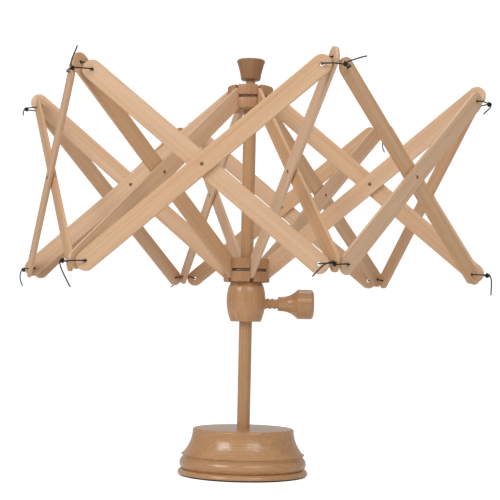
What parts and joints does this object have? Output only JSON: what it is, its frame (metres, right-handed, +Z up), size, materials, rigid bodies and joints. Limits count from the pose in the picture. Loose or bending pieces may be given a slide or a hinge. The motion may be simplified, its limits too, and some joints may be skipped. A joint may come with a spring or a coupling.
{
  "type": "umbrella swift",
  "caption": "Wooden umbrella swift: a folding drum of crossed slats on a post with a turned table base, a knob and a thumbscrew; it opens and spins to hold a skein of yarn.",
  "frame": {"origin": "middle of the base's underside, on the table", "axes": "+Z up along the post; -Y towards the front, +X towards the thumbscrew"},
  "size_m": [0.5133, 0.509, 0.4516],
  "materials": {
    "slat_wood": "bare beech, sanded",
    "turned_wood": "beech under clear varnish",
    "waxed_string": "black waxed cord",
    "felt": "black felt",
    "wire": "drawn wire",
    "rivet": "dull small rivets"
  },
  "bodies": {
    "stand": {"base": "turned_wood", "felt_pad": "felt", "post": "turned_wood", "knob": "turned_wood"},
    "rotor": {"upper_hub": "slat_wood", "upper_wire": "wire"},
    "lower_hub_body": {"lower_hub": "slat_wood", "lower_wire": "wire"},
    "barrel_body": {"barrel": "turned_wood"},
    "screw_body": {"thumbscrew": "turned_wood"},
    "upper_slat_body_1": {"upper_hub_slat_1": "slat_wood", "hub_slat_rivet_1": "rivet"},
    "lower_slat_body_1": {"lower_hub_slat_1": "slat_wood"},
    "inner_rim_body_1": {"inner_rim_slat_1": "slat_wood", "rim_slat_rivet_1": "rivet"},
    "outer_rim_body_1": {"outer_rim_slat_1": "slat_wood"},
    "upper_tie_body_1": {"upper_tie_1": "waxed_string"},
    "lower_tie_body_1": {"lower_tie_1": "waxed_string"},
    "upper_slat_body_2": {"upper_hub_slat_2": "slat_wood", "hub_slat_rivet_2": "rivet"},
    "lower_slat_body_2": {"lower_hub_slat_2": "slat_wood"},
    "inner_rim_body_2": {"inner_rim_slat_2": "slat_wood", "rim_slat_rivet_2": "rivet"},
    "outer_rim_body_2": {"outer_rim_slat_2": "slat_wood"},
    "upper_tie_body_2": {"upper_tie_2": "waxed_string"},
    "lower_tie_body_2": {"lower_tie_2": "waxed_string"},
    "upper_slat_body_3": {"upper_hub_slat_3": "slat_wood", "hub_slat_rivet_3": "rivet"},
    "lower_slat_body_3": {"lower_hub_slat_3": "slat_wood"},
    "inner_rim_body_3": {"inner_rim_slat_3": "slat_wood", "rim_slat_rivet_3": "rivet"},
    "outer_rim_body_3": {"outer_rim_slat_3": "slat_wood"},
    "upper_tie_body_3": {"upper_tie_3": "waxed_string"},
    "lower_tie_body_3": {"lower_tie_3": "waxed_string"},
    "upper_slat_body_4": {"upper_hub_slat_4": "slat_wood", "hub_slat_rivet_4": "rivet"},
    "lower_slat_body_4": {"lower_hub_slat_4": "slat_wood"},
    "inner_rim_body_4": {"inner_rim_slat_4": "slat_wood", "rim_slat_rivet_4": "rivet"},
    "outer_rim_body_4": {"outer_rim_slat_4": "slat_wood"},
    "upper_tie_body_4": {"upper_tie_4": "waxed_string"},
    "lower_tie_body_4": {"lower_tie_4": "waxed_string"},
    "upper_slat_body_5": {"upper_hub_slat_5": "slat_wood", "hub_slat_rivet_5": "rivet"},
    "lower_slat_body_5": {"lower_hub_slat_5": "slat_wood"},
    "inner_rim_body_5": {"inner_rim_slat_5": "slat_wood", "rim_slat_rivet_5": "rivet"},
    "outer_rim_body_5": {"outer_rim_slat_5": "slat_wood"},
    "upper_tie_body_5": {"upper_tie_5": "waxed_string"},
    "lower_tie_body_5": {"lower_tie_5": "waxed_string"},
    "upper_slat_body_6": {"upper_hub_slat_6": "slat_wood", "hub_slat_rivet_6": "rivet"},
    "lower_slat_body_6": {"lower_hub_slat_6": "slat_wood"},
    "inner_rim_body_6": {"inner_rim_slat_6": "slat_wood", "rim_slat_rivet_6": "rivet"},
    "outer_rim_body_6": {"outer_rim_slat_6": "slat_wood"},
    "upper_tie_body_6": {"upper_tie_6": "waxed_string"},
    "lower_tie_body_6": {"lower_tie_6": "waxed_string"}
  },
  "joints": [
    {"name": "spin", "type": "hinge", "parent": "stand", "child": "rotor", "pos_m": [0, 0, 0.4082], "axis": [0, 0, 1], "continuous": true},
    {"name": "fold", "type": "hinge", "parent": "rotor", "child": "upper_slat_body_1", "pos_m": [-0.01256, -0.01694, 0.4082], "axis": [0.7431, -0.6691, 0], "range_deg": [-15, 40]},
    {"name": "upper_slat_fold_2", "type": "hinge", "parent": "rotor", "child": "upper_slat_body_2", "pos_m": [0.00839, -0.01935, 0.4082], "axis": [0.9511, 0.309, 0], "range_deg": [-15.5, 40.5]},
    {"name": "upper_slat_fold_3", "type": "hinge", "parent": "rotor", "child": "upper_slat_body_3", "pos_m": [0.02096, -0.00241, 0.4082], "axis": [0.2079, 0.9781, 0], "range_deg": [-15.5, 40.5]},
    {"name": "upper_slat_fold_4", "type": "hinge", "parent": "rotor", "child": "upper_slat_body_4", "pos_m": [0.01256, 0.01694, 0.4082], "axis": [-0.7431, 0.6691, 0], "range_deg": [-15.5, 40.5]},
    {"name": "upper_slat_fold_5", "type": "hinge", "parent": "rotor", "child": "upper_slat_body_5", "pos_m": [-0.00839, 0.01935, 0.4082], "axis": [-0.9511, -0.309, 0], "range_deg": [-15.5, 40.5]},
    {"name": "upper_slat_fold_6", "type": "hinge", "parent": "rotor", "child": "upper_slat_body_6", "pos_m": [-0.02096, 0.00241, 0.4082], "axis": [-0.2079, -0.9781, 0], "range_deg": [-15.5, 40.5]},
    {"name": "lower_slat_cross_1", "type": "hinge", "parent": "upper_slat_body_1", "child": "lower_slat_body_1", "pos_m": [-0.08889, -0.09872, 0.31435], "axis": [0.7431, -0.6691, 0], "range_deg": [-80.5, 30.5]},
    {"name": "upper_tie_turn_1", "type": "hinge", "parent": "lower_slat_body_1", "child": "upper_tie_body_1", "pos_m": [-0.16521, -0.1805, 0.4082], "axis": [0.7431, -0.6691, 0], "range_deg": [-15.5, 40.5]},
    {"name": "lower_tie_turn_1", "type": "hinge", "parent": "upper_slat_body_1", "child": "lower_tie_body_1", "pos_m": [-0.16224, -0.18318, 0.22051], "axis": [0.7431, -0.6691, 0], "range_deg": [-40.5, 15.5]},
    {"name": "inner_rim_turn_1", "type": "hinge", "parent": "upper_tie_body_1", "child": "inner_rim_body_1", "pos_m": [-0.15214, -0.18668, 0.4002], "axis": [-0.2079, -0.9781, 0], "range_deg": [-41.38, 15.83]},
    {"name": "outer_rim_cross_1", "type": "hinge", "parent": "inner_rim_body_1", "child": "outer_rim_body_1", "pos_m": [-0.04496, -0.21151, 0.30935], "axis": [-0.2079, -0.9781, 0], "range_deg": [-31.16, 82.26]},
    {"name": "lower_slat_cross_2", "type": "hinge", "parent": "upper_slat_body_2", "child": "lower_slat_body_2", "pos_m": [0.04105, -0.12634, 0.31435], "axis": [0.9511, 0.309, 0], "range_deg": [-80.5, 30.5]},
    {"name": "upper_tie_turn_2", "type": "hinge", "parent": "lower_slat_body_2", "child": "upper_tie_body_2", "pos_m": [0.07371, -0.23333, 0.4082], "axis": [0.9511, 0.309, 0], "range_deg": [-15.5, 40.5]},
    {"name": "lower_tie_turn_2", "type": "hinge", "parent": "upper_slat_body_2", "child": "lower_tie_body_2", "pos_m": [0.07751, -0.23209, 0.22051], "axis": [0.9511, 0.309, 0], "range_deg": [-40.5, 15.5]},
    {"name": "inner_rim_turn_2", "type": "hinge", "parent": "upper_tie_body_2", "child": "inner_rim_body_2", "pos_m": [0.0856, -0.2251, 0.4002], "axis": [0.7431, -0.6691, 0], "range_deg": [-41.38, 15.83]},
    {"name": "outer_rim_cross_2", "type": "hinge", "parent": "inner_rim_body_2", "child": "outer_rim_body_2", "pos_m": [0.16069, -0.14469, 0.30935], "axis": [0.7431, -0.6691, 0], "range_deg": [-31.16, 82.26]},
    {"name": "lower_slat_cross_3", "type": "hinge", "parent": "upper_slat_body_3", "child": "lower_slat_body_3", "pos_m": [0.12994, -0.02762, 0.31435], "axis": [0.2079, 0.9781, 0], "range_deg": [-80.5, 30.5]},
    {"name": "upper_tie_turn_3", "type": "hinge", "parent": "lower_slat_body_3", "child": "upper_tie_body_3", "pos_m": [0.23892, -0.05283, 0.4082], "axis": [0.2079, 0.9781, 0], "range_deg": [-15.5, 40.5]},
    {"name": "lower_tie_turn_3", "type": "hinge", "parent": "upper_slat_body_3", "child": "lower_tie_body_3", "pos_m": [0.23975, -0.04892, 0.22051], "axis": [0.2079, 0.9781, 0], "range_deg": [-40.5, 15.5]},
    {"name": "inner_rim_turn_3", "type": "hinge", "parent": "upper_tie_body_3", "child": "inner_rim_body_3", "pos_m": [0.23774, -0.03842, 0.4002], "axis": [0.9511, 0.309, 0], "range_deg": [-41.38, 15.83]},
    {"name": "outer_rim_cross_3", "type": "hinge", "parent": "inner_rim_body_3", "child": "outer_rim_body_3", "pos_m": [0.20565, 0.06682, 0.30935], "axis": [0.9511, 0.309, 0], "range_deg": [-31.16, 82.26]},
    {"name": "lower_slat_cross_4", "type": "hinge", "parent": "upper_slat_body_4", "child": "lower_slat_body_4", "pos_m": [0.08889, 0.09872, 0.31435], "axis": [-0.7431, 0.6691, 0], "range_deg": [-80.5, 30.5]},
    {"name": "upper_tie_turn_4", "type": "hinge", "parent": "lower_slat_body_4", "child": "upper_tie_body_4", "pos_m": [0.16521, 0.1805, 0.4082], "axis": [-0.7431, 0.6691, 0], "range_deg": [-15.5, 40.5]},
    {"name": "lower_tie_turn_4", "type": "hinge", "parent": "upper_slat_body_4", "child": "lower_tie_body_4", "pos_m": [0.16224, 0.18318, 0.22051], "axis": [-0.7431, 0.6691, 0], "range_deg": [-40.5, 15.5]},
    {"name": "inner_rim_turn_4", "type": "hinge", "parent": "upper_tie_body_4", "child": "inner_rim_body_4", "pos_m": [0.15214, 0.18668, 0.4002], "axis": [0.2079, 0.9781, 0], "range_deg": [-41.38, 15.83]},
    {"name": "outer_rim_cross_4", "type": "hinge", "parent": "inner_rim_body_4", "child": "outer_rim_body_4", "pos_m": [0.04496, 0.21151, 0.30935], "axis": [0.2079, 0.9781, 0], "range_deg": [-31.16, 82.26]},
    {"name": "lower_slat_cross_5", "type": "hinge", "parent": "upper_slat_body_5", "child": "lower_slat_body_5", "pos_m": [-0.04105, 0.12634, 0.31435], "axis": [-0.9511, -0.309, 0], "range_deg": [-80.5, 30.5]},
    {"name": "upper_tie_turn_5", "type": "hinge", "parent": "lower_slat_body_5", "child": "upper_tie_body_5", "pos_m": [-0.07371, 0.23333, 0.4082], "axis": [-0.9511, -0.309, 0], "range_deg": [-15.5, 40.5]},
    {"name": "lower_tie_turn_5", "type": "hinge", "parent": "upper_slat_body_5", "child": "lower_tie_body_5", "pos_m": [-0.07751, 0.23209, 0.22051], "axis": [-0.9511, -0.309, 0], "range_deg": [-40.5, 15.5]},
    {"name": "inner_rim_turn_5", "type": "hinge", "parent": "upper_tie_body_5", "child": "inner_rim_body_5", "pos_m": [-0.0856, 0.2251, 0.4002], "axis": [-0.7431, 0.6691, 0], "range_deg": [-41.38, 15.83]},
    {"name": "outer_rim_cross_5", "type": "hinge", "parent": "inner_rim_body_5", "child": "outer_rim_body_5", "pos_m": [-0.16069, 0.14469, 0.30935], "axis": [-0.7431, 0.6691, 0], "range_deg": [-31.16, 82.26]},
    {"name": "lower_slat_cross_6", "type": "hinge", "parent": "upper_slat_body_6", "child": "lower_slat_body_6", "pos_m": [-0.12994, 0.02762, 0.31435], "axis": [-0.2079, -0.9781, 0], "range_deg": [-80.5, 30.5]},
    {"name": "upper_tie_turn_6", "type": "hinge", "parent": "lower_slat_body_6", "child": "upper_tie_body_6", "pos_m": [-0.23892, 0.05283, 0.4082], "axis": [-0.2079, -0.9781, 0], "range_deg": [-15.5, 40.5]},
    {"name": "lower_tie_turn_6", "type": "hinge", "parent": "upper_slat_body_6", "child": "lower_tie_body_6", "pos_m": [-0.23975, 0.04892, 0.22051], "axis": [-0.2079, -0.9781, 0], "range_deg": [-40.5, 15.5]},
    {"name": "inner_rim_turn_6", "type": "hinge", "parent": "upper_tie_body_6", "child": "inner_rim_body_6", "pos_m": [-0.23774, 0.03842, 0.4002], "axis": [-0.9511, -0.309, 0], "range_deg": [-41.38, 15.83]},
    {"name": "outer_rim_cross_6", "type": "hinge", "parent": "inner_rim_body_6", "child": "outer_rim_body_6", "pos_m": [-0.20565, -0.06682, 0.30935], "axis": [-0.9511, -0.309, 0], "range_deg": [-31.16, 82.26]},
    {"name": "lower_hub_hold", "type": "hinge", "parent": "lower_slat_body_1", "child": "lower_hub_body", "pos_m": [-0.01554, -0.01427, 0.22051], "axis": [0.7431, -0.6691, 0], "range_deg": [-15.5, 40.5]},
    {"name": "barrel_stay", "type": "hinge", "parent": "lower_hub_body", "child": "barrel_body", "pos_m": [0, 0, 0.20731], "axis": [0, 0, 1], "continuous": true},
    {"name": "thumbscrew_turn", "type": "hinge", "parent": "barrel_body", "child": "screw_body", "pos_m": [0, 0, 0.18471], "axis": [1, 0, 0], "range_deg": [0, 720]}
  ],
  "couplings": [
    {"joint": "upper_slat_fold_2", "follows": "fold", "ratio": 1},
    {"joint": "upper_slat_fold_3", "follows": "fold", "ratio": 1},
    {"joint": "upper_slat_fold_4", "follows": "fold", "ratio": 1},
    {"joint": "upper_slat_fold_5", "follows": "fold", "ratio": 1},
    {"joint": "upper_slat_fold_6", "follows": "fold", "ratio": 1},
    {"joint": "lower_slat_cross_1", "follows": "fold", "ratio": -2},
    {"joint": "upper_tie_turn_1", "follows": "fold", "ratio": 1},
    {"joint": "lower_tie_turn_1", "follows": "fold", "ratio": -1},
    {"joint": "inner_rim_turn_1", "follows": "fold", "ratio": -1.022},
    {"joint": "outer_rim_cross_1", "follows": "fold", "ratio": 2.044},
    {"joint": "lower_slat_cross_2", "follows": "fold", "ratio": -2},
    {"joint": "upper_tie_turn_2", "follows": "fold", "ratio": 1},
    {"joint": "lower_tie_turn_2", "follows": "fold", "ratio": -1},
    {"joint": "inner_rim_turn_2", "follows": "fold", "ratio": -1.022},
    {"joint": "outer_rim_cross_2", "follows": "fold", "ratio": 2.044},
    {"joint": "lower_slat_cross_3", "follows": "fold", "ratio": -2},
    {"joint": "upper_tie_turn_3", "follows": "fold", "ratio": 1},
    {"joint": "lower_tie_turn_3", "follows": "fold", "ratio": -1},
    {"joint": "inner_rim_turn_3", "follows": "fold", "ratio": -1.022},
    {"joint": "outer_rim_cross_3", "follows": "fold", "ratio": 2.044},
    {"joint": "lower_slat_cross_4", "follows": "fold", "ratio": -2},
    {"joint": "upper_tie_turn_4", "follows": "fold", "ratio": 1},
    {"joint": "lower_tie_turn_4", "follows": "fold", "ratio": -1},
    {"joint": "inner_rim_turn_4", "follows": "fold", "ratio": -1.022},
    {"joint": "outer_rim_cross_4", "follows": "fold", "ratio": 2.044},
    {"joint": "lower_slat_cross_5", "follows": "fold", "ratio": -2},
    {"joint": "upper_tie_turn_5", "follows": "fold", "ratio": 1},
    {"joint": "lower_tie_turn_5", "follows": "fold", "ratio": -1},
    {"joint": "inner_rim_turn_5", "follows": "fold", "ratio": -1.022},
    {"joint": "outer_rim_cross_5", "follows": "fold", "ratio": 2.044},
    {"joint": "lower_slat_cross_6", "follows": "fold", "ratio": -2},
    {"joint": "upper_tie_turn_6", "follows": "fold", "ratio": 1},
    {"joint": "lower_tie_turn_6", "follows": "fold", "ratio": -1},
    {"joint": "inner_rim_turn_6", "follows": "fold", "ratio": -1.022},
    {"joint": "outer_rim_cross_6", "follows": "fold", "ratio": 2.044},
    {"joint": "lower_hub_hold", "follows": "fold", "ratio": 1},
    {"joint": "barrel_stay", "follows": "spin", "ratio": -1}
  ]
}
